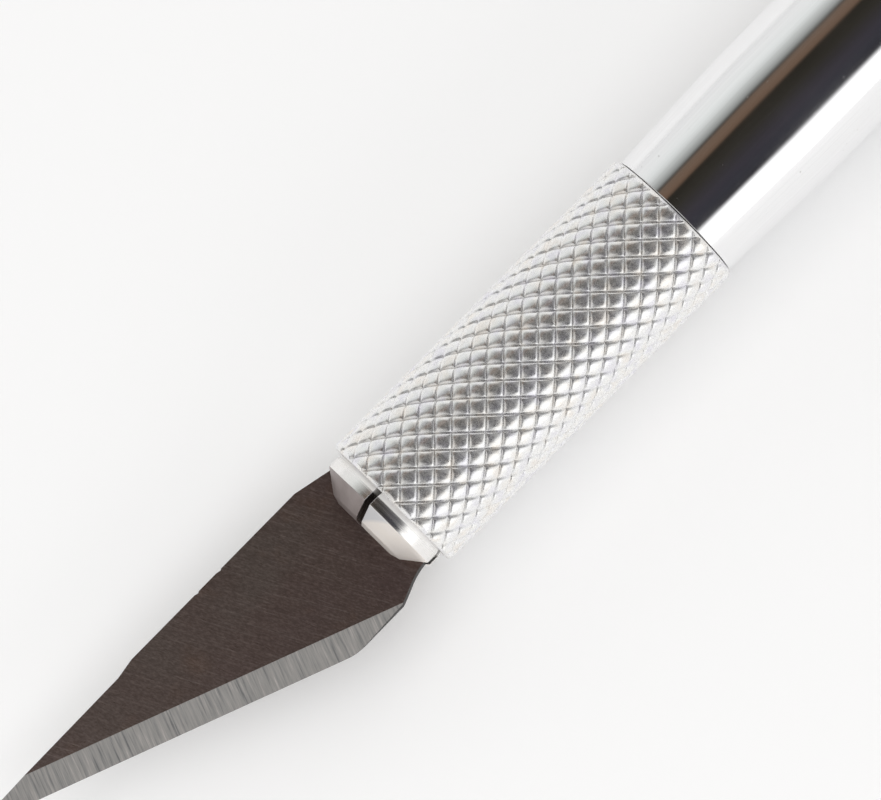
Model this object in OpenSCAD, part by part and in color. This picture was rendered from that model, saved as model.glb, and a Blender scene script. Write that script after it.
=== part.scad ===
// Hobby craft knife: solid round handle, knurled collar, four-jaw collet and a large fine-point blade.
// The origin is the centre of the tail face. +X runs along the handle to the blade's tip, +Z is up,
// the blade lies flat with its cutting edge on the +Y side and its spine on the -Y side.
// Everything is drawn in its tightened position, in millimetres.

/* [Handle] */
// Length of the handle from its tail face to its shoulder
handle_len = 97; // [80:1:120]
// Diameter of the handle's straight stretch and of the collar over its knurl
handle_d = 9.5; // [9:0.1:10.5]
// Diameter of the handle at its shoulder, where the collar butts
shoulder_d = 8.9; // [8.4:0.1:9]
// Length over which the handle tapers down to its shoulder
taper_len = 8; // [6:1:12]
// Size of the chamfer round the tail face
tail_chamfer = 0.7; // [0.3:0.1:1.2]

/* [Collar] */
// Length of the knurled collar
collar_len = 23.5; // [22:0.1:26]
// Bore of the collar, which the handle's spigot centres
collar_bore_d = 6.7; // [6.6:0.1:7]
// Chamfer round each end of the collar
collar_chamfer = 0.15; // [0.05:0.05:0.3]

/* [Collet] */
// Diameter of the collet's nose, just ahead of the collar
nose_d = 8.3; // [7.8:0.1:8.5]
// Length of the clamping cone that shows ahead of the tightened collar
cone_show_len = 0.33; // [0.1:0.01:0.5]
// Length of the nose's straight band
nose_band_len = 0.67; // [0.5:0.01:1]
// Length of the nose's bevel
nose_bevel_len = 1; // [0.8:0.1:1.4]
// Diameter of the nose at the front of its bevel
nose_bevel_d = 5.6; // [5:0.1:6]
// Diameter of the flat front of the nose
nose_front_d = 4.4; // [4:0.1:4.8]
// Diameter of the collet behind its clamping cone
collet_d = 6; // [5.8:0.1:6.1]
// Half angle of the clamping cone, from the axis
cone_half_angle = 15; // [14:1:18]
// Width of the slit that crosses the blade slot
slit_w = 0.4; // [0.3:0.05:0.5]
// Outside diameter of the collet's screw thread
thread_d = 5; // [4.6:0.1:5]
// Pitch of the collet's screw thread
thread_pitch = 0.8; // [0.7:0.1:1]

/* [Blade] */
// Thickness of the blade
blade_t = 0.6; // [0.5:0.05:0.7]
// Length of the blade from its shoulder to its tip
blade_len = 29.4; // [27:0.2:31]
// Length of the tang behind the shoulder
tang_len = 15; // [12:0.5:16]
// Width of the tang
tang_w = 5.6; // [5:0.1:5.8]
// Width of the ground bevel along the cutting edge
bevel_w = 1.6; // [1.2:0.1:2]

/* [Hidden] */
$fn = 96;

// Clearances between pieces that turn or slide on each other
fit_gap = 0.05;
blade_gap = 0.02;
flex_gap = 0.03;

// Stations along the axis
spigot_len = 2;
seam_x = handle_len;
collar_rear_x = seam_x + fit_gap;
collar_front_x = seam_x + collar_len;
cone_front_x = collar_front_x + cone_show_len;
nose_bevel_x = cone_front_x + nose_band_len;
nose_edge_x = nose_bevel_x + nose_bevel_len;
nose_front_x = nose_edge_x + 0.17;
spigot_front_x = seam_x + spigot_len;
shank_shoulder_x = spigot_front_x + 0.5;
slot_root_x = seam_x + 7;
thread_len = 13.5;
thread_rear_x = shank_shoulder_x - thread_len;
socket_rear_x = thread_rear_x - 2;
shoulder_x = nose_bevel_x + 0.12;
tip_x = shoulder_x + blade_len;
tang_rear_x = shoulder_x - tang_len;

// The handle's threaded socket, and the drill point at its end
socket_r = thread_d / 2 + fit_gap;
drill_point_len = 1.5;
spigot_r = collar_bore_d / 2 - fit_gap;

// The taper inside the collar runs parallel to the clamping cone
collar_mouth_r = nose_d / 2 + 0.02 - cone_show_len * tan(cone_half_angle);
collar_taper_x = collar_front_x - (collar_mouth_r - collar_bore_d / 2) / tan(cone_half_angle);
cone_rear_x = cone_front_x - (nose_d - collet_d) / 2 / tan(cone_half_angle);

// Blade outline. SPINE and HEEL give each corner's distance ahead of the shoulder, and across from the axis
SPINE = [[0, -4], [2.45, -4.54], [16, -4.54], [17.3, -4.32]];
HEEL = [[2.65, 4.78], [1.9, 4.49], [1.2, 4.18], [0.5, 3.98], [0, 3.92]];
tip_y = -4.19;
heel_y = 4.86;
edge_run = 22.85;
heel_front_x = tip_x - edge_run;
edge_angle = atan2(heel_y - tip_y, heel_front_x - tip_x);
tang_corner = 0.6;
cutting_land = 0.03;
bevel_angle = atan2((blade_t - cutting_land) / 2, bevel_w);
tang_slot_len = 7;
tang_slot_w = 1.8;
tang_slot_x = tang_rear_x + 6.5;

// Turn a profile of (distance from the axis, distance along the axis) round the X axis, with its seam on top
module turned(profile) {
    rotate([180, 0, 0]) rotate([0, 90, 0]) rotate_extrude() polygon(profile);
}

// Solid handle with its taper, its spigot and the threaded socket
module barrel() {
    color([0.80, 0.80, 0.82])
    turned([
        [0, 0],
        [handle_d / 2 - tail_chamfer, 0],
        [handle_d / 2, tail_chamfer],
        [handle_d / 2, seam_x - taper_len],
        [shoulder_d / 2, seam_x],
        [spigot_r, seam_x],
        [spigot_r, spigot_front_x],
        [socket_r, spigot_front_x],
        [socket_r, socket_rear_x],
        [0, socket_rear_x - drill_point_len]
    ]);
}

// Knurled collar: the grip diameter is over the knurl's crests
module collar() {
    color([0.86, 0.86, 0.86])
    turned([
        [collar_bore_d / 2, collar_rear_x],
        [handle_d / 2 - collar_chamfer, collar_rear_x],
        [handle_d / 2, collar_rear_x + collar_chamfer],
        [handle_d / 2, collar_front_x - collar_chamfer],
        [handle_d / 2 - collar_chamfer, collar_front_x],
        [collar_mouth_r, collar_front_x],
        [collar_bore_d / 2, collar_taper_x]
    ]);
}

// One thread ridge: a ring of the thread's profile, closed at the axis by the core
module thread_ridge(x) {
    crest = thread_pitch / 8;
    root_r = thread_d / 2 - thread_pitch * 0.54;
    turned([
        [0, x - thread_pitch / 2],
        [root_r, x - thread_pitch / 2],
        [thread_d / 2, x - crest / 2],
        [thread_d / 2, x + crest / 2],
        [root_r, x + thread_pitch / 2],
        [0, x + thread_pitch / 2]
    ]);
}

// The collet's unslit rear: the screw thread and the ring that its jaws spring from
module collet_shank() {
    ridges = floor((thread_len - 0.9) / thread_pitch);
    core_r = thread_d / 2 - thread_pitch * 0.54;
    color([0.78, 0.78, 0.80]) union() {
        turned([
            [0, thread_rear_x],
            [core_r - 0.3, thread_rear_x],
            [core_r, thread_rear_x + 0.3],
            [core_r, shank_shoulder_x],
            [collet_d / 2 - 0.3, shank_shoulder_x],
            [collet_d / 2, shank_shoulder_x + 0.3],
            [collet_d / 2, slot_root_x],
            [0, slot_root_x]
        ]);
        for (i = [0 : ridges - 1])
            thread_ridge(thread_rear_x + 0.3 + thread_pitch * (i + 0.5));
    }
}

// One spring jaw: a quarter of the collet's front, in the quadrant given by its two signs
module collet_jaw(y_side, z_side) {
    length = nose_front_x - slot_root_x + 1;
    reach = nose_d;
    blade_half = blade_t / 2 + blade_gap;
    color([0.84, 0.84, 0.84]) intersection() {
        turned([
            [0, slot_root_x + flex_gap],
            [collet_d / 2, slot_root_x + flex_gap],
            [collet_d / 2, cone_rear_x],
            [nose_d / 2, cone_front_x],
            [nose_d / 2, nose_bevel_x],
            [nose_bevel_d / 2, nose_edge_x],
            [nose_front_d / 2, nose_front_x],
            [0, nose_front_x]
        ]);
        translate([slot_root_x,
                   y_side > 0 ? slit_w / 2 : -slit_w / 2 - reach,
                   z_side > 0 ? blade_half : -blade_half - reach])
            cube([length, reach, reach]);
    }
}

// Flat outline of the blade, with its tang
module blade_outline() {
    difference() {
        polygon([
            [tang_rear_x, -tang_w / 2 + tang_corner],
            [tang_rear_x + tang_corner, -tang_w / 2],
            [shoulder_x, -tang_w / 2],
            for (corner = SPINE) [shoulder_x + corner[0], corner[1]],
            [tip_x, tip_y],
            [heel_front_x, heel_y],
            for (corner = HEEL) [shoulder_x + corner[0], corner[1]],
            [shoulder_x, tang_w / 2],
            [tang_rear_x + tang_corner, tang_w / 2],
            [tang_rear_x, tang_w / 2 - tang_corner]
        ]);
        translate([tang_slot_x, 0]) {
            for (end = [-1, 1])
                translate([end * (tang_slot_len - tang_slot_w) / 2, 0]) circle(d = tang_slot_w);
            square([tang_slot_len - tang_slot_w, tang_slot_w], center = true);
        }
    }
}

// Waste ground off one face of the blade to make its bevel
module bevel_waste(side) {
    translate([tip_x, tip_y, 0]) rotate([0, 0, edge_angle - 180])
        mirror([0, 0, side > 0 ? 0 : 1])
        translate([-2 * blade_len, 0, cutting_land / 2])
        rotate([-bevel_angle, 0, 0])
        translate([0, -8, 0]) cube([3 * blade_len, 16, 4]);
}

// Large fine-point blade
module blade() {
    color([0.42, 0.39, 0.37]) difference() {
        translate([0, 0, -blade_t / 2]) linear_extrude(blade_t) blade_outline();
        bevel_waste(1);
        bevel_waste(-1);
    }
}

barrel();
collar();
collet_shank();
collet_jaw(1, 1);  // collet_jaw_1
collet_jaw(-1, 1);  // collet_jaw_2
collet_jaw(-1, -1);  // collet_jaw_3
collet_jaw(1, -1);  // collet_jaw_4
blade();
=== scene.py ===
"""Hobby craft knife: the detailed pieces, materials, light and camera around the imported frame.

Lengths are metres in the model's own frame: +X runs from the tail to the blade's tip, +Z is up,
the blade lies flat with its cutting edge on the +Y side. MM turns a size in millimetres to metres.
"""

import math

import bmesh
import bpy
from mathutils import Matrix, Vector


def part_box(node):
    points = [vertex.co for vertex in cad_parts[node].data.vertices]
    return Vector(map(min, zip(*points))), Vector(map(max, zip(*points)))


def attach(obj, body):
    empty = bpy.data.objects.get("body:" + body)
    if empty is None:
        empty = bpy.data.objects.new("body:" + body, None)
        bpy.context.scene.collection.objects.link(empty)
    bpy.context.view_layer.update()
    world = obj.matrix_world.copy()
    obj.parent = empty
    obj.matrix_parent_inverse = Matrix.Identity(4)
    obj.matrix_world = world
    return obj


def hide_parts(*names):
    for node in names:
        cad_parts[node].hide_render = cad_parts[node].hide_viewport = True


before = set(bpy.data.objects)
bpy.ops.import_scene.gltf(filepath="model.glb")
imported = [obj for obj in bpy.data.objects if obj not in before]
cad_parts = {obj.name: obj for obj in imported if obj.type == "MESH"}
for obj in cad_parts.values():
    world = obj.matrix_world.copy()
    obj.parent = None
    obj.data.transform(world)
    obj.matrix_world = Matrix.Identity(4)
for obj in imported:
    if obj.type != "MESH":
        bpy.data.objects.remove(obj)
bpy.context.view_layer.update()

MM = 0.001
TAU = 2 * math.pi
AXIS_TOLERANCE = 1e-7
CUT_TOLERANCE = 1e-8

# ---------------------------------------------------------------- places taken from the frame
_, barrel_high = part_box("barrel")
collar_low, collar_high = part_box("collar")
shank_low, shank_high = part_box("collet_shank")
jaw_low, jaw_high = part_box("collet_jaw_1")
blade_low, blade_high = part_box("blade")

HANDLE_R = barrel_high.y
SPIGOT_FRONT = barrel_high.x
SPIGOT_LEN = 2 * MM
SEAM = SPIGOT_FRONT - SPIGOT_LEN
COLLAR_R = collar_high.y
COLLAR_REAR, COLLAR_FRONT = collar_low.x, collar_high.x
NOSE_R = jaw_high.y
NOSE_FRONT = jaw_high.x
JAW_REAR = jaw_low.x
TIP = blade_high.x
TANG_REAR = blade_low.x
BLADE_HALF = blade_high.z

# Sizes that the frame's boxes don't give
SHOULDER_R = 4.45 * MM
SPIGOT_R = 3.3 * MM
SOCKET_R = 2.55 * MM
SOCKET_REAR = 84 * MM
DRILL_POINT_LEN = 1.5 * MM
TAPER_LEN = 8 * MM
TAIL_CHAMFER = 0.7 * MM
COLLAR_BORE_R = 3.35 * MM
CONE_SLOPE = math.tan(math.radians(15))
CONE_SHOW = 0.33 * MM
COLLAR_MOUTH_R = NOSE_R + 0.02 * MM - CONE_SHOW * CONE_SLOPE
JAW_R = 3 * MM
NOSE_BAND = 0.67 * MM
NOSE_EDGE = NOSE_FRONT - 0.17 * MM
NOSE_EDGE_R = 2.8 * MM
NOSE_FRONT_R = 2.2 * MM
SLIT_HALF = 0.2 * MM
SLOT_HALF = BLADE_HALF + 0.02 * MM


# ---------------------------------------------------------------- mesh helpers
def piece(name, mesh, body, replaced, materials, sharp_angle=32):
    """Puts a finished bmesh into the scene as a piece that rides on a body."""
    bmesh.ops.recalc_face_normals(mesh, faces=mesh.faces)
    data = bpy.data.meshes.new(name)
    mesh.to_mesh(data)
    mesh.free()
    data.shade_smooth()
    data.set_sharp_from_angle(angle=math.radians(sharp_angle))
    for material in materials:
        data.materials.append(material)
    made = bpy.data.objects.new(name, data)
    bpy.context.scene.collection.objects.link(made)
    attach(made, body)
    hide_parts(*replaced)
    return made


def add_bevel(made, width, segments=2, angle=28):
    """Rounds the edges of a piece the way a deburred edge is rounded."""
    bevel = made.modifiers.new("edge_round", "BEVEL")
    bevel.width = width
    bevel.segments = segments
    bevel.limit_method = "ANGLE"
    bevel.angle_limit = math.radians(angle)
    bevel.harden_normals = True


def rounded_profile(points, radius, steps=4):
    """A profile of (x, r) points with every inner corner rounded off by a short curve."""
    out = [points[0]]
    for before, here, after in zip(points, points[1:], points[2:]):
        a, b, c = Vector(before), Vector(here), Vector(after)
        cut = min(radius, (a - b).length * 0.45, (c - b).length * 0.45)
        start = b + (a - b).normalized() * cut
        end = b + (c - b).normalized() * cut
        for i in range(steps + 1):
            t = i / steps
            out.append(tuple((1 - t) ** 2 * start + 2 * t * (1 - t) * b + t * t * end))
    out.append(points[-1])
    return out


def on_circle(x, radius, angle):
    """The point at that distance along the axis, that far from it and that far round it."""
    return Vector((x, radius * math.cos(angle), radius * math.sin(angle)))


def lathe(profile, steps=192):
    """A turned solid from a closed profile of (x, r) points; points on the axis become one vertex."""
    mesh = bmesh.new()
    rings = []
    for x, r in profile:
        if r < AXIS_TOLERANCE:
            rings.append([mesh.verts.new((x, 0, 0))])
        else:
            rings.append([mesh.verts.new(on_circle(x, r, TAU * i / steps)) for i in range(steps)])
    for ring, after in zip(rings, rings[1:]):
        for i in range(steps):
            j = (i + 1) % steps
            corners = [ring[i % len(ring)], after[i % len(after)], after[j % len(after)], ring[j % len(ring)]]
            corners = list(dict.fromkeys(corners))
            if len(corners) > 2:
                mesh.faces.new(corners)
    return mesh


# ---------------------------------------------------------------- material helpers
class Shader:
    """A small wrapper that adds nodes to one material or world and links them."""

    def __init__(self, tree):
        self.tree = tree

    def node(self, kind, **settings):
        made = self.tree.nodes.new(kind)
        for key, value in settings.items():
            if hasattr(made, key):
                setattr(made, key, value)
            else:
                self.put(made.inputs[key.replace("_", " ")], value)
        return made

    def put(self, socket, value):
        if isinstance(value, bpy.types.NodeSocket):
            self.tree.links.new(value, socket)
        else:
            socket.default_value = value

    def math(self, operation, a, b=0.0, clamp=False):
        made = self.node("ShaderNodeMath", operation=operation, use_clamp=clamp)
        self.put(made.inputs[0], a)
        self.put(made.inputs[1], b)
        return made.outputs[0]

    def ramp(self, factor, stops, interpolation="LINEAR"):
        made = self.node("ShaderNodeValToRGB")
        made.color_ramp.interpolation = interpolation
        elements = made.color_ramp.elements
        while len(elements) < len(stops):
            elements.new(0.5)
        for element, (position, colour) in zip(elements, stops):
            element.position = position
            element.color = (*colour, 1) if len(colour) == 3 else colour
        self.put(made.inputs[0], factor)
        return made.outputs[0]

    def span(self, value, low, high, to_low, to_high, smooth=False):
        """Maps value from one range to another, clamped."""
        made = self.node("ShaderNodeMapRange")
        made.interpolation_type = "SMOOTHSTEP" if smooth else "LINEAR"
        for socket, given in zip(made.inputs, (value, low, high, to_low, to_high)):
            self.put(socket, given)
        return made.outputs[0]

    def mix(self, factor, a, b, blend="MIX"):
        made = self.node("ShaderNodeMix", data_type="RGBA", blend_type=blend)
        self.put(made.inputs[0], factor)
        self.put(made.inputs[6], a if isinstance(a, bpy.types.NodeSocket) else (*a, 1))
        self.put(made.inputs[7], b if isinstance(b, bpy.types.NodeSocket) else (*b, 1))
        return made.outputs[2]

    def noise(self, vector, scale, detail=2.0, roughness=0.5):
        made = self.node("ShaderNodeTexNoise", Scale=scale, Detail=detail, Roughness=roughness)
        self.put(made.inputs["Vector"], vector)
        return made.outputs["Fac"]

    def stretched(self, vector, scale, turn=0.0):
        """The coordinates in millimetres, turned about Z and then scaled on each axis."""
        turned = self.node("ShaderNodeMapping")
        self.put(turned.inputs["Vector"], vector)
        turned.inputs["Rotation"].default_value = (0, 0, math.radians(turn))
        scaled = self.node("ShaderNodeMapping")
        self.put(scaled.inputs["Vector"], turned.outputs[0])
        scaled.inputs["Scale"].default_value = tuple(1000 * s for s in scale)
        return scaled.outputs[0]

    def bump(self, height, distance, strength=1.0, normal=None):
        made = self.node("ShaderNodeBump", Strength=strength, Distance=distance)
        self.put(made.inputs["Height"], height)
        if normal is not None:
            self.put(made.inputs["Normal"], normal)
        return made.outputs[0]


def metal(name, colour, roughness):
    """A new metal material. Returns it, its shader helper, its Principled node and object coordinates."""
    material = bpy.data.materials.new(name)
    material.use_nodes = True
    shader = Shader(material.node_tree)
    principled = material.node_tree.nodes["Principled BSDF"]
    principled.inputs["Metallic"].default_value = 1.0
    principled.inputs["Base Color"].default_value = (*colour, 1)
    principled.inputs["Roughness"].default_value = roughness
    place = shader.node("ShaderNodeTexCoord").outputs["Object"]
    return material, shader, principled, place


def around_axis(shader, place):
    """Coordinates for turned parts: along the axis, distance from it, and angle round it."""
    parts = shader.node("ShaderNodeSeparateXYZ")
    shader.put(parts.inputs[0], place)
    x, y, z = parts.outputs
    squared = shader.math("ADD", shader.math("MULTIPLY", y, y), shader.math("MULTIPLY", z, z))
    radius = shader.math("SQRT", squared)
    angle = shader.math("ARCTAN2", z, y)
    return x, radius, angle


def vector_of(shader, x, y, z):
    made = shader.node("ShaderNodeCombineXYZ")
    for socket, value in zip(made.inputs, (x, y, z)):
        shader.put(socket, value)
    return made.outputs[0]


# ---------------------------------------------------------------- materials
def polished_aluminium():
    """Bright turned and polished bar: faint rings, long drawn marks, a few specks and a faced tail end."""
    material, s, principled, place = metal("polished_aluminium", (0.93, 0.93, 0.935), 0.12)
    x, radius, angle = around_axis(s, place)
    along = s.math("MULTIPLY", s.math("ADD", x, radius), 9000)
    rings = s.noise(vector_of(s, along, s.math("MULTIPLY", angle, 0.4), 0.0), 1.0, 3.0, 0.6)
    drawn_place = vector_of(s, s.math("MULTIPLY", x, 60), s.math("MULTIPLY", angle, 55), 3.0)
    drawn = s.noise(drawn_place, 1.0, 3.0, 0.6)
    cloud = s.noise(s.stretched(place, (0.12, 0.5, 0.5)), 1.0, 3.0, 0.6)
    specks = s.noise(s.stretched(place, (4.2, 4.2, 4.2)), 1.0, 1.0, 0.4)
    speck = s.span(specks, 0.77, 0.83, 0.0, 0.6)
    tone = s.mix(s.span(drawn, 0.35, 0.7, 0.0, 1.0), (0.90, 0.90, 0.905), (0.955, 0.955, 0.96))
    faced = s.math("MULTIPLY", s.span(x, 0.02 * MM, 0.06 * MM, 1.0, 0.0), s.span(rings, 0.35, 0.65, 0.2, 1.0))
    tone = s.mix(faced, tone, (0.6, 0.6, 0.61))
    s.put(principled.inputs["Base Color"], s.mix(speck, tone, (0.35, 0.34, 0.32)))
    rough = s.math("ADD", s.span(cloud, 0.3, 0.75, 0.09, 0.17), s.math("MULTIPLY", faced, 0.15))
    s.put(principled.inputs["Roughness"], s.math("ADD", rough, s.math("MULTIPLY", speck, 0.4)))
    ground = s.bump(rings, 0.0000006, 0.5)
    s.put(principled.inputs["Normal"], s.bump(drawn, 0.000002, 0.4, ground))
    return material


def knurled_aluminium():
    """Bright knurled surface: cut flats, darker by a patchy amount deep in the grooves."""
    material, s, principled, place = metal("knurled_aluminium", (0.92, 0.92, 0.92), 0.25)
    _, radius, _ = around_axis(s, place)
    depth = s.span(radius, COLLAR_R - 0.2 * MM, COLLAR_R - 0.14 * MM, 1.0, 0.0, smooth=True)
    patch = s.noise(s.stretched(place, (0.35, 0.35, 0.35)), 1.0, 3.0, 0.6)
    grain = s.noise(s.stretched(place, (7, 7, 7)), 1.0, 3.0, 0.65)
    tint = s.noise(s.stretched(place, (1.1, 1.1, 1.1)), 1.0, 2.0, 0.5)
    # Darkens the base colour deep in the grooves by a patchy amount, from 10 to 40 percent towards the grey.
    groove_darkening = s.math("MULTIPLY", depth, s.span(patch, 0.3, 0.7, 0.1, 0.4))
    tone = s.ramp(tint, [(0.3, (0.86, 0.85, 0.9)), (0.5, (0.95, 0.95, 0.94)), (0.7, (0.93, 0.89, 0.84))])
    tone = s.mix(s.span(grain, 0.35, 0.6, 0.25, 0.0), tone, (0.6, 0.59, 0.6))
    s.put(principled.inputs["Base Color"], s.mix(groove_darkening, tone, (0.42, 0.40, 0.41)))
    s.put(principled.inputs["Roughness"], s.span(grain, 0.3, 0.7, 0.2, 0.36))
    principled.inputs["Metallic"].default_value = 0.9
    s.put(principled.inputs["Normal"], s.bump(grain, 0.000008, 0.35))
    return material


def machined_aluminium():
    """Freshly turned collet: fine tool rings that follow the shape, and a duller clamping cone."""
    material, s, principled, place = metal("machined_aluminium", (0.90, 0.89, 0.87), 0.2)
    x, radius, angle = around_axis(s, place)
    along = s.math("MULTIPLY", s.math("ADD", x, radius), 11000)
    rings = s.noise(vector_of(s, along, s.math("MULTIPLY", angle, 0.5), 0.0), 1.0, 2.0, 0.6)
    patch = s.noise(s.stretched(place, (1.2, 1.2, 1.2)), 1.0, 3.0, 0.6)
    s.put(principled.inputs["Base Color"], s.mix(patch, (0.84, 0.82, 0.79), (0.95, 0.94, 0.93)))
    s.put(principled.inputs["Roughness"], s.span(rings, 0.3, 0.7, 0.16, 0.3))
    cone_front = COLLAR_FRONT + CONE_SHOW
    s.put(principled.inputs["Metallic"], s.span(x, cone_front - 0.04 * MM, cone_front + 0.04 * MM, 0.3, 1.0))
    s.put(principled.inputs["Normal"], s.bump(rings, 0.000003, 0.6))
    return material


def faced_aluminium():
    """The nose's bevel: a coarser cut that scatters more light than the band, with a painted grey reflection
    near the slit and painted shade on the upper jaw of the spine's side.
    """
    material, s, principled, place = metal("faced_aluminium", (0.90, 0.87, 0.83), 0.35)
    _, radius, angle = around_axis(s, place)
    ring_place = vector_of(s, s.math("MULTIPLY", radius, 9000), s.math("MULTIPLY", angle, 0.8), 0.0)
    rings = s.noise(ring_place, 1.0, 3.0, 0.6)
    patch = s.noise(s.stretched(place, (0.9, 0.9, 0.9)), 1.0, 3.0, 0.6)
    bevel_tone = s.mix(patch, (0.96, 0.90, 0.83), (0.98, 0.94, 0.90))
    # Painted reflection: a light grey patch near the slit on the upper jaw of the cutting edge's side,
    # bounded by a slanted line.
    painted_reflection_line = s.math("ADD", angle, s.math("MULTIPLY", s.math("SUBTRACT", radius, NOSE_EDGE_R), 250))
    bevel_tone = s.mix(s.span(painted_reflection_line, 1.44, 1.54, 0.0, 1.0), bevel_tone, (0.74, 0.74, 0.75))
    # Painted shade: the bevel of the upper jaw on the spine's side is painted dark grey-brown, standing in
    # for its shade and the blade's dark reflection.
    painted_shade = s.mix(patch, (0.24, 0.20, 0.19), (0.42, 0.37, 0.36))
    s.put(principled.inputs["Base Color"], s.mix(s.span(angle, 1.55, 1.59, 0.0, 1.0), bevel_tone, painted_shade))
    s.put(principled.inputs["Roughness"], s.span(rings, 0.3, 0.7, 0.35, 0.5))
    principled.inputs["Metallic"].default_value = 0.55
    s.put(principled.inputs["Normal"], s.bump(rings, 0.000004, 0.6))
    return material


def blade_face_steel():
    """Dark rolled strip: fine slanted scratches, faint temper tints, and a little lighter towards the tip."""
    material, s, principled, place = metal("blade_face_steel", (0.3, 0.27, 0.25), 0.35)
    fine = s.noise(s.stretched(place, (0.9, 16, 1), 67), 1.0, 4.0, 0.7)
    long_marks = s.noise(s.stretched(place, (0.35, 9, 1), 63), 1.0, 3.0, 0.6)
    tint = s.noise(s.stretched(place, (0.16, 0.16, 0.16)), 1.0, 2.0, 0.5)
    tint_two = s.noise(s.stretched(place, (0.3, 0.3, 0.3)), 1.3, 2.0, 0.5)
    base = s.ramp(tint, [
        (0.3, (0.115, 0.08, 0.076)), (0.5, (0.118, 0.084, 0.075)), (0.7, (0.12, 0.096, 0.085))])
    base = s.mix(s.span(tint_two, 0.58, 0.75, 0.0, 0.55), base, (0.16, 0.095, 0.068))
    parts = s.node("ShaderNodeSeparateXYZ")
    s.put(parts.inputs[0], place)
    base = s.mix(s.span(parts.outputs[0], SHOULDER, TIP, 0.0, 0.6), base, (0.21, 0.168, 0.155))
    marks = s.math("MULTIPLY", s.span(long_marks, 0.52, 0.72, 0.0, 0.4), s.span(fine, 0.35, 0.65, 0.3, 1.0))
    base = s.mix(marks, base, (0.33, 0.28, 0.26))
    grain = s.noise(s.stretched(place, (4, 9, 1), 67), 1.0, 4.0, 0.75)
    base = s.mix(s.span(grain, 0.36, 0.56, 0.45, 0.0), base, (0.06, 0.045, 0.04))
    base = s.mix(s.span(grain, 0.52, 0.68, 0.0, 0.3), base, (0.26, 0.21, 0.19))
    s.put(principled.inputs["Base Color"], base)
    s.put(principled.inputs["Roughness"], s.span(fine, 0.3, 0.7, 0.26, 0.46))
    principled.inputs["Metallic"].default_value = 0.7
    s.put(principled.inputs["Normal"], s.bump(fine, 0.000006, 0.7))
    return material


def ground_steel():
    """The ground bevel: bright, with grinding lines square to the cutting edge."""
    material, s, principled, place = metal("ground_steel", (0.62, 0.61, 0.6), 0.35)
    lines = s.noise(s.stretched(place, (12, 0.7, 0.7), BEVEL_TURN), 1.0, 4.0, 0.7)
    bands = s.noise(s.stretched(place, (6.5, 0.3, 0.3), BEVEL_TURN), 1.0, 4.0, 0.65)
    s.put(principled.inputs["Base Color"], s.ramp(bands, [
        (0.3, (0.19, 0.19, 0.195)), (0.45, (0.34, 0.335, 0.325)), (0.6, (0.43, 0.41, 0.395)),
        (0.75, (0.66, 0.62, 0.60))]))
    s.put(principled.inputs["Roughness"], s.span(lines, 0.3, 0.7, 0.28, 0.5))
    principled.inputs["Metallic"].default_value = 0.5
    s.put(principled.inputs["Normal"], s.bump(lines, 0.000008, 0.6))
    return material


def sheared_steel_painted_shade():
    """The blade's sheared edges: a rough sheared finish, with a near-black colour that is painted shade."""
    material, s, principled, place = metal("sheared_steel_painted_shade", (0.2, 0.2, 0.19), 0.5)
    grain = s.noise(s.stretched(place, (3, 3, 9)), 1.0, 3.0, 0.6)
    # Painted shade: the near-black base colour stands in for the shade on the edge walls; the roughness is
    # the real sheared finish.
    s.put(principled.inputs["Base Color"], s.mix(grain, (0.05, 0.05, 0.05), (0.12, 0.115, 0.11)))
    s.put(principled.inputs["Roughness"], s.span(grain, 0.3, 0.7, 0.5, 0.7))
    s.put(principled.inputs["Normal"], s.bump(grain, 0.00001, 0.5))
    return material


# ---------------------------------------------------------------- handle
def make_handle(material):
    """Turned handle: rounded tail chamfer, taper to the shoulder, spigot and socket."""
    outside = rounded_profile([
        (0.0, 0.0),
        (0.0, HANDLE_R - TAIL_CHAMFER),
        (TAIL_CHAMFER, HANDLE_R),
        (SEAM - TAPER_LEN, HANDLE_R),
        (SEAM, SHOULDER_R),
        (SEAM, SPIGOT_R),
        (SPIGOT_FRONT, SPIGOT_R),
        (SPIGOT_FRONT, SOCKET_R),
        (SOCKET_REAR, SOCKET_R),
        (SOCKET_REAR - DRILL_POINT_LEN, 0.0),
    ], 0.08 * MM)
    return piece("handle", lathe(outside), "handle", ["barrel"], [material], 60)


# ---------------------------------------------------------------- collar
KNURL_STARTS = 21
KNURL_PITCH = TAU * COLLAR_R / KNURL_STARTS / math.sqrt(2)
KNURL_TURN = math.radians(2.8)
WIDE_HALF, WIDE_DEPTH = 0.13 * MM, 0.09 * MM
NARROW_HALF, NARROW_DEPTH = 0.08 * MM, 0.065 * MM
CROWN = 0.055 * MM
KNURL_MERGE_STEPS = 9000
END_CHAMFER = 0.2 * MM
BORE_CHAMFER = 0.15 * MM
MOUTH_ROUND = 0.05 * MM


def groove(across, half, depth):
    """How deep a groove is at that distance across it; its walls start gently and end in a sharp root."""
    from_root = min(across % KNURL_PITCH, KNURL_PITCH - across % KNURL_PITCH)
    return depth * max(0.0, 1 - from_root / half) ** 1.25


def knurl_depth(a, b):
    """How far the knurl lies below its crests, given the distances across its two sets of grooves."""
    crown = sum(CROWN * (2 * (d % KNURL_PITCH) / KNURL_PITCH - 1) ** 2 for d in (a, b))
    return crown + max(groove(a, NARROW_HALF, NARROW_DEPTH), groove(b, WIDE_HALF, WIDE_DEPTH))


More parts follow.
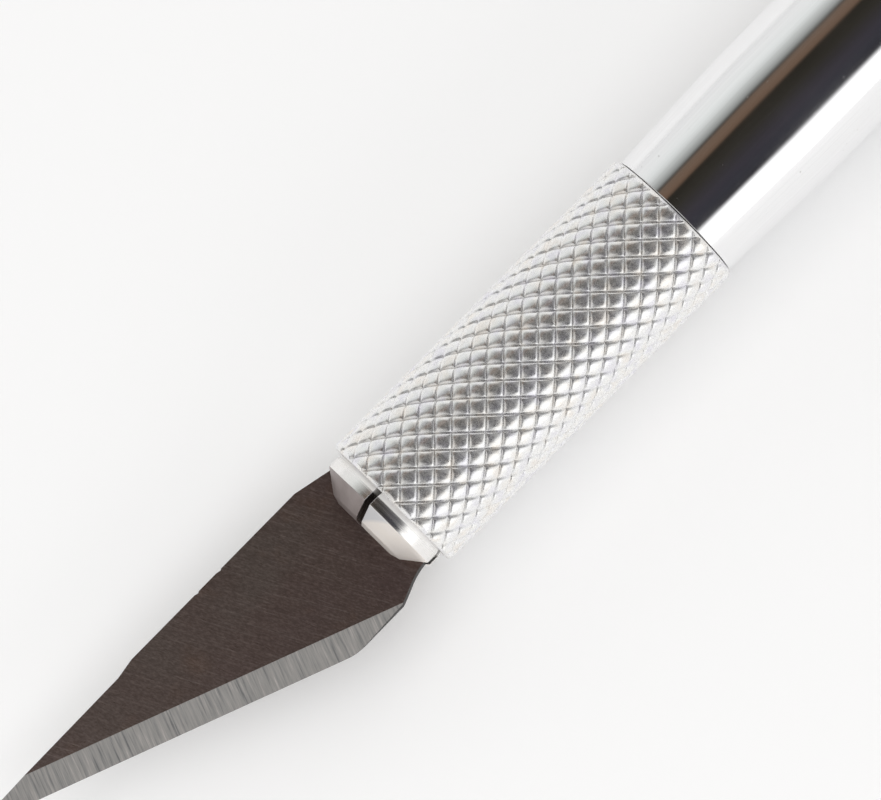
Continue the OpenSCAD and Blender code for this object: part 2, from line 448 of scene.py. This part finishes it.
def knurl_sheet():
    """The knurled skin: two crossing sets of grooves at 45 degrees, laid out flat and then wrapped."""
    pitch = KNURL_PITCH
    near_narrow = [0, NARROW_HALF / 2, NARROW_HALF, 0.2 * MM, 0.33 * MM]
    near_wide = [0, WIDE_HALF / 4, WIDE_HALF / 2, WIDE_HALF * 0.75, WIDE_HALF, 0.33 * MM]
    cuts_a, cuts_b = (near + [pitch / 2] + [pitch - c for c in reversed(near)]
                      for near in (near_narrow, near_wide))
    mesh = bmesh.new()
    known = {}

    def corner(row, column, u, v):
        a, b = row * pitch + u, column * pitch + v
        x = COLLAR_REAR - pitch + (a + b) / math.sqrt(2)
        angle = (a - b) / math.sqrt(2) / COLLAR_R + KNURL_TURN
        radius = COLLAR_R - knurl_depth(a, b)
        key = (round(x / MM, 3), round((angle % TAU) / TAU * KNURL_MERGE_STEPS) % KNURL_MERGE_STEPS)
        if key not in known:
            known[key] = mesh.verts.new(on_circle(x, radius, angle))
        return known[key]

    diagonals = math.ceil((COLLAR_FRONT - COLLAR_REAR + 2 * pitch) / (pitch / math.sqrt(2)))
    for k in range(-1, diagonals):
        for m in range(k % 2, 2 * KNURL_STARTS, 2):
            row, column = (k + m) // 2, (k - m) // 2
            for u0, u1 in zip(cuts_a, cuts_a[1:]):
                for v0, v1 in zip(cuts_b, cuts_b[1:]):
                    mesh.faces.new([corner(row, column, u, v)
                                    for u, v in ((u0, v0), (u1, v0), (u1, v1), (u0, v1))])
    return mesh


def cut_across(mesh, x, clear_side=0):
    """Cuts the mesh square to the axis; clear_side -1 removes what lies behind, 1 what lies ahead."""
    bmesh.ops.bisect_plane(
        mesh, geom=mesh.verts[:] + mesh.edges[:] + mesh.faces[:], dist=CUT_TOLERANCE,
        plane_co=(x, 0, 0), plane_no=(1, 0, 0), clear_inner=clear_side < 0, clear_outer=clear_side > 0)


def carry_rim(mesh, rim, path):
    """Extrudes an open rim of edges along a path of (x, r) points, keeping each vertex's angle."""
    for x, radius in path:
        grown = bmesh.ops.extrude_edge_only(mesh, edges=rim)["geom"]
        rim = [g for g in grown if isinstance(g, bmesh.types.BMEdge)]
        for vertex in {v for e in rim for v in e.verts}:
            vertex.co = on_circle(x, radius, math.atan2(vertex.co.z, vertex.co.y))
    return rim


def make_collar(material):
    """Knurled sleeve with a chamfer cut through the knurl at each end, a bore and a taper."""
    mesh = knurl_sheet()
    cut_across(mesh, COLLAR_REAR, -1)
    cut_across(mesh, COLLAR_FRONT, 1)
    for share in (0.25, 0.5, 0.75, 1.0):
        cut_across(mesh, COLLAR_REAR + END_CHAMFER * share)
        cut_across(mesh, COLLAR_FRONT - END_CHAMFER * share)
    for vertex in mesh.verts:
        x, radius = vertex.co.x, math.hypot(vertex.co.y, vertex.co.z)
        inward = min(x - COLLAR_REAR, COLLAR_FRONT - x)
        cone = COLLAR_R - END_CHAMFER + max(inward, 0.0)
        if radius > cone:
            vertex.co = on_circle(x, cone, math.atan2(vertex.co.z, vertex.co.y))
    open_edges = [e for e in mesh.edges if e.is_boundary]
    middle = (COLLAR_REAR + COLLAR_FRONT) / 2
    rear = [e for e in open_edges if e.verts[0].co.x < middle]
    front = [e for e in open_edges if e.verts[0].co.x > middle]
    taper_x = COLLAR_FRONT - (COLLAR_MOUTH_R - COLLAR_BORE_R) / CONE_SLOPE
    rear = carry_rim(mesh, rear, [
        (COLLAR_REAR, COLLAR_BORE_R + BORE_CHAMFER),
        (COLLAR_REAR + BORE_CHAMFER, COLLAR_BORE_R)])
    front = carry_rim(mesh, front, [
        (COLLAR_FRONT, COLLAR_MOUTH_R + MOUTH_ROUND),
        (COLLAR_FRONT - MOUTH_ROUND, COLLAR_MOUTH_R),
        (taper_x, COLLAR_BORE_R)])
    bmesh.ops.bridge_loops(mesh, edges=rear + front)
    return piece("knurled_collar", mesh, "collar", ["collar"], [material], 35)


# ---------------------------------------------------------------- collet
def make_jaw(number, y_side, z_side, turned, faced):
    """One quarter of the sawn collet: a sector with flat sawn faces and a bevelled nose."""
    cone_front = COLLAR_FRONT + CONE_SHOW
    cone_rear = cone_front - (NOSE_R - JAW_R) / CONE_SLOPE
    stations = [(JAW_REAR, JAW_R), (cone_rear, JAW_R), (cone_front, NOSE_R),
                (cone_front + NOSE_BAND, NOSE_R), (NOSE_EDGE, NOSE_EDGE_R), (NOSE_FRONT, NOSE_FRONT_R)]
    steps = 28
    mesh = bmesh.new()
    sections = []
    for x, radius in stations:
        start = math.asin(SLOT_HALF / radius)
        end = math.acos(SLIT_HALF / radius)
        ring = [(x, SLIT_HALF, SLOT_HALF)]
        ring += [tuple(on_circle(x, radius, start + (end - start) * i / steps)) for i in range(steps + 1)]
        sections.append([mesh.verts.new((px, py * y_side, pz * z_side)) for px, py, pz in ring])
    count = len(sections[0])
    for station, (ring, after) in enumerate(zip(sections, sections[1:])):
        for i in range(count):
            j = (i + 1) % count
            wall = mesh.faces.new((ring[i], ring[j], after[j], after[i]))
            wall.material_index = 1 if station >= 3 and 0 < i < count - 1 else 0
    mesh.faces.new(sections[0])
    mesh.faces.new(sections[-1]).material_index = 1
    made = piece(f"jaw_{number}", mesh, f"jaw_{number}",
                 [f"collet_jaw_{number}"], [turned, faced], 20)
    add_bevel(made, 0.04 * MM)
    return made


def make_shank(material):
    """The collet's tail: a true helical screw thread that runs out into a plain shoulder."""
    pitch, depth, major_r, thread_len = 0.8 * MM, 0.43 * MM, 2.5 * MM, 13.5 * MM
    flank_slope, root_flat = 2.6, 0.12
    lead_in, run_out, undercut, end_drop = 0.6 * MM, 0.5 * MM, 0.6 * MM, 0.25 * MM
    around, per_turn = 72, 10
    rear, shoulder = shank_low.x, shank_low.x + thread_len
    samples = round((shoulder - rear) / pitch) * per_turn
    mesh = bmesh.new()
    rings = []
    for k in range(samples + 1):
        x = rear + (shoulder - rear) * k / samples
        ring = []
        for i in range(around):
            turn = ((x - rear) / pitch - i / around) % 1.0
            ridge = max(0.0, min(1.0, (0.5 - abs(turn - 0.5)) * flank_slope - root_flat))
            start_fade = min(1.0, (x - rear) / lead_in)
            end_fade = min(1.0, max(0.0, (shoulder - undercut - x) / run_out))
            radius = major_r - depth + depth * ridge * start_fade * end_fade - end_drop * (1 - start_fade)
            ring.append(mesh.verts.new(on_circle(x, radius, TAU * i / around)))
        rings.append(ring)
    for x, radius in rounded_profile([
            (shoulder, JAW_R - 0.3 * MM), (shoulder + 0.3 * MM, JAW_R), (shank_high.x, JAW_R)], 0.1 * MM):
        rings.append([mesh.verts.new(on_circle(x, radius, TAU * i / around)) for i in range(around)])
    for ring, after in zip(rings, rings[1:]):
        for i in range(around):
            j = (i + 1) % around
            mesh.faces.new((ring[i], ring[j], after[j], after[i]))
    mesh.faces.new(rings[0])
    mesh.faces.new(rings[-1])
    return piece("collet_tail", mesh, "collet", ["collet_shank"], [material], 40)


# ---------------------------------------------------------------- blade
BLADE_LEN = 29.4 * MM
SHOULDER = TIP - BLADE_LEN
HEEL_Y = blade_high.y
TIP_Y = -4.19 * MM
SPINE = [(0, -4.0), (2.45, -4.54), (8.55, -4.54), (8.64, -4.475), (8.95, -4.54), (10.4, -4.54),
         (10.5, -4.47), (10.75, -4.54), (16, -4.54), (17.3, -4.32)]
HEEL = [(2.65, 4.78), (1.9, 4.49), (1.2, 4.18), (0.5, 3.98), (0, 3.92)]
EDGE_RUN = 22.85 * MM
HEEL_FRONT = TIP - EDGE_RUN
TANG_HALF = 2.8 * MM
BEVEL_WIDTH = 1.6 * MM
LAND_HALF = 0.015 * MM
HEEL_ROUND = 0.8 * MM
EDGE_DIRECTION = Vector((HEEL_FRONT - TIP, HEEL_Y - TIP_Y)).normalized()
EDGE_OUTWARD = Vector((EDGE_DIRECTION.y, -EDGE_DIRECTION.x))
BEVEL_TURN = -math.degrees(math.atan2(EDGE_DIRECTION.y, EDGE_DIRECTION.x))


def arc_between(start, end, bulge, steps):
    """Points after start up to end along a shallow arc whose middle stands off by bulge."""
    a, b = Vector(start), Vector(end)
    side = Vector((-(b - a).y, (b - a).x)).normalized()
    return [tuple(a.lerp(b, i / steps) + side * bulge * 4 * (i / steps) * (1 - i / steps))
            for i in range(1, steps + 1)]


def blade_outline():
    """The blade's flat outline, from the tang round the spine, the tip, the edge and the heel."""
    back = TANG_REAR
    corner = 0.6 * MM
    points = [(back, -TANG_HALF + corner), (back + corner, -TANG_HALF), (SHOULDER, -TANG_HALF)]
    points += [(SHOULDER + x * MM, y * MM) for x, y in SPINE]
    points.append((TIP, TIP_Y))
    edge_end = Vector((HEEL_FRONT, HEEL_Y)) - EDGE_DIRECTION * HEEL_ROUND
    heel = [(SHOULDER + x * MM, y * MM) for x, y in HEEL]
    points.append(tuple(edge_end))
    points += arc_between(edge_end, (HEEL_FRONT - HEEL_ROUND, HEEL_Y - 0.008 * MM), -0.09 * MM, 5)
    points += rounded_profile(heel, 0.3 * MM)
    points += [(SHOULDER, TANG_HALF), (back + corner, TANG_HALF), (back, TANG_HALF - corner)]
    return points


def tang_slot():
    """The long hole in the tang."""
    centre, half_run, radius, steps = SHOULDER - 8.5 * MM, 2.6 * MM, 0.9 * MM, 32
    angles = [TAU * (i + 0.5) / steps for i in range(steps)]
    return [(centre + math.copysign(half_run, math.cos(a)) + radius * math.cos(a), radius * math.sin(a))
            for a in angles]


def face_height(x, y):
    """Half the blade's thickness at a point: the flat and the ground bevel."""
    from_edge = -(Vector((x, y)) - Vector((TIP, TIP_Y))).dot(EDGE_OUTWARD)
    ground = LAND_HALF + (BLADE_HALF - LAND_HALF) * max(from_edge, 0.0) / BEVEL_WIDTH
    return min(BLADE_HALF, ground)


def make_blade(face, ground, sheared):
    """Stamped and ground blade: two mirrored sheets joined by the sheared rim."""
    mesh = bmesh.new()
    loops = []
    for points in (blade_outline(), tang_slot()):
        verts = [mesh.verts.new((x, y, 0)) for x, y in points]
        loops += [mesh.edges.new((a, b)) for a, b in zip(verts, verts[1:] + verts[:1])]
    bmesh.ops.triangle_fill(mesh, use_beauty=True, use_dissolve=False, edges=loops, normal=(0, 0, 1))
    inner = Vector((TIP, TIP_Y)) - EDGE_OUTWARD * BEVEL_WIDTH
    bmesh.ops.bisect_plane(mesh, geom=mesh.verts[:] + mesh.edges[:] + mesh.faces[:], dist=CUT_TOLERANCE,
                           plane_co=(*inner, 0), plane_no=(*EDGE_OUTWARD, 0))
    rim = [e for e in mesh.edges if e.is_boundary]
    top_faces = mesh.faces[:]
    partner = {}
    for vertex in mesh.verts[:]:
        height = face_height(vertex.co.x, vertex.co.y)
        partner[vertex] = mesh.verts.new((vertex.co.x, vertex.co.y, -height))
        vertex.co.z = height
    for old in top_faces:
        middle = old.calc_center_median()
        from_edge = -(middle.xy - Vector((TIP, TIP_Y))).dot(EDGE_OUTWARD)
        old.material_index = 1 if from_edge < BEVEL_WIDTH else 0
        below = mesh.faces.new([partner[v] for v in reversed(old.verts)])
        below.material_index = old.material_index
    for edge in rim:
        a, b = edge.verts
        wall = mesh.faces.new((a, b, partner[b], partner[a]))
        wall.material_index = 2
    return piece("blade_steel_body", mesh, "blade", ["blade"], [face, ground, sheared], 4)


# ---------------------------------------------------------------- surroundings
FLOOR_RADIUS = 2.5
FLOOR_GAP = 0.01 * MM


def make_floor():
    """A plain pale light table that the knife lies on."""
    mesh = bmesh.new()
    bmesh.ops.create_circle(mesh, cap_ends=True, segments=96, radius=FLOOR_RADIUS)
    data = bpy.data.meshes.new("floor")
    mesh.to_mesh(data)
    mesh.free()
    floor = bpy.data.objects.new("floor", data)
    bpy.context.scene.collection.objects.link(floor)
    floor.location = (0.1, 0, -COLLAR_R - FLOOR_GAP)
    material = bpy.data.materials.new("pale_floor")
    material.use_nodes = True
    principled = material.node_tree.nodes["Principled BSDF"]
    principled.inputs["Base Color"].default_value = (0.88, 0.88, 0.88, 1)
    principled.inputs["Emission Color"].default_value = (1, 1, 1, 1)
    principled.inputs["Emission Strength"].default_value = 0.08
    principled.inputs["Roughness"].default_value = 0.9
    principled.inputs["Specular IOR Level"].default_value = 0.1
    data.materials.append(material)


def make_world():
    """A studio of long panels along the knife, with other sets past the tail and towards the blade.

    Each set goes from the horizon on the cutting edge's side, 0 degrees, over the top to the spine's side.
    """
    world = bpy.data.worlds.new("studio")
    bpy.context.scene.world = world
    world.use_nodes = True
    s = Shader(world.node_tree)
    background = world.node_tree.nodes["Background"]
    parts = s.node("ShaderNodeSeparateXYZ")
    s.put(parts.inputs[0], s.node("ShaderNodeTexCoord").outputs["Generated"])
    x, y, z = parts.outputs
    turn = s.math("DIVIDE", s.math("ARCTAN2", z, y), math.pi)

    def grey(level):
        return (level, level, level)

    def panel_set(*stops):
        return s.ramp(turn, [(degrees / 180, colour) for degrees, colour in stops])

    panels = panel_set(
        (0, grey(1.35)), (30, grey(1.35)), (36, (0.02, 0.018, 0.022)), (47, (0.033, 0.033, 0.042)),
        (60, (0.042, 0.038, 0.048)), (84, (0.03, 0.027, 0.022)), (100, (0.02, 0.018, 0.014)),
        (104, (0.15, 0.095, 0.065)), (116, (0.16, 0.11, 0.08)), (120, (0.05, 0.045, 0.04)),
        (125, (0.30, 0.31, 0.30)), (146, (0.78, 0.80, 0.79)), (165, (0.84, 0.845, 0.84)), (180, grey(0.78)))
    tail_panels = panel_set(
        (0, grey(1)), (30, grey(0.85)), (45, grey(0.35)), (100, (0.1, 0.095, 0.095)),
        (122, (0.95, 0.94, 0.93)), (180, grey(0.95)))
    quarter_panels = panel_set(
        (0, grey(0.95)), (14, grey(0.9)), (22, (0.2, 0.2, 0.205)), (50, (0.26, 0.255, 0.25)),
        (68, (0.72, 0.71, 0.7)), (105, (0.76, 0.74, 0.72)), (125, grey(0.2)), (150, grey(0.25)),
        (168, grey(0.95)), (180, grey(0.95)))
    blade_panels = panel_set(
        (0, grey(0.95)), (30, (0.8, 0.79, 0.77)), (105, (0.76, 0.74, 0.72)), (125, grey(0.25)),
        (150, grey(0.3)), (168, grey(0.95)), (180, grey(0.95)))
    tail_end = s.span(x, -0.15, -0.4, 0.0, 1.0, smooth=True)
    quarter = s.span(x, 0.2, 0.5, 0.0, 1.0, smooth=True)
    blade_end = s.span(x, 0.72, 0.84, 0.0, 1.0, smooth=True)
    colour = s.mix(quarter, s.mix(tail_end, panels, tail_panels), quarter_panels)
    s.put(background.inputs["Color"], s.mix(blade_end, colour, blade_panels))
    background.inputs["Strength"].default_value = 1.0


def soft_light(name, place, size, power):
    """A square area light aimed at the collar. The metal doesn't mirror it, so the polish shows no lamp."""
    lamp = bpy.data.lights.new(name, "AREA")
    lamp.size = size
    lamp.energy = power
    made = bpy.data.objects.new(name, lamp)
    bpy.context.scene.collection.objects.link(made)
    made.location = place
    made.rotation_euler = (Vector(place) - Vector((COLLAR_FRONT, 0, 0))).to_track_quat("Z", "Y").to_euler()
    made.visible_glossy = False
    made.visible_camera = False


def make_lights():
    """A wide light overhead, and a smaller one ahead of the blade on the cutting edge's side."""
    soft_light("overhead", (0.1, 0.1, 0.9), 1.4, 6.3)
    soft_light("front", (0.6, 0.45, 0.45), 0.8, 2)


CAMERA_DISTANCE = 0.42
CAMERA_LENS = 294.5
CAMERA_ELEVATION = 74.5
CAMERA_LEAN = 1.7
AXIS_SLOPE = 45.47
TARGET_X = 114.2 * MM
TARGET_OFF_AXIS = 2.22 * MM


def make_camera():
    """A long lens that looks down on the nose from the cutting edge's side, the axis rising to the right."""
    elevation, slope, lean = (math.radians(a) for a in (CAMERA_ELEVATION, AXIS_SLOPE, CAMERA_LEAN))
    back = Vector((0, math.cos(elevation), math.sin(elevation)))
    to_spine = Vector((0, -math.sin(elevation), math.cos(elevation)))
    to_tail = Vector((-1, 0, 0))
    back, to_tail = (back * math.cos(lean) - to_tail * math.sin(lean),
                     to_tail * math.cos(lean) + back * math.sin(lean))
    right = to_tail * math.cos(slope) - to_spine * math.sin(slope)
    up = to_tail * math.sin(slope) + to_spine * math.cos(slope)
    data = bpy.data.cameras.new("camera")
    data.sensor_width = 36
    data.lens = CAMERA_LENS
    data.clip_start, data.clip_end = 0.01, 10
    camera = bpy.data.objects.new("camera", data)
    bpy.context.scene.collection.objects.link(camera)
    place = Vector((TARGET_X, 0, 0)) + to_spine * TARGET_OFF_AXIS + back * CAMERA_DISTANCE
    matrix = camera.matrix_world.copy()
    for column, axis in enumerate((right, up, back, place)):
        for row in range(3):
            matrix[row][column] = axis[row]
    camera.matrix_world = matrix
    bpy.context.scene.camera = camera


# ---------------------------------------------------------------- the scene
make_camera()
make_world()
make_lights()
make_floor()

handle_metal = polished_aluminium()
collar_metal = knurled_aluminium()
collet_metal = machined_aluminium()
nose_metal = faced_aluminium()

make_handle(handle_metal)
make_collar(collar_metal)
make_shank(collet_metal)
for number, (y_side, z_side) in enumerate(((1, 1), (-1, 1), (-1, -1), (1, -1)), start=1):
    make_jaw(number, y_side, z_side, collet_metal, nose_metal)
make_blade(blade_face_steel(), ground_steel(), sheared_steel_painted_shade())

bpy.context.scene.view_settings.view_transform = "Standard"
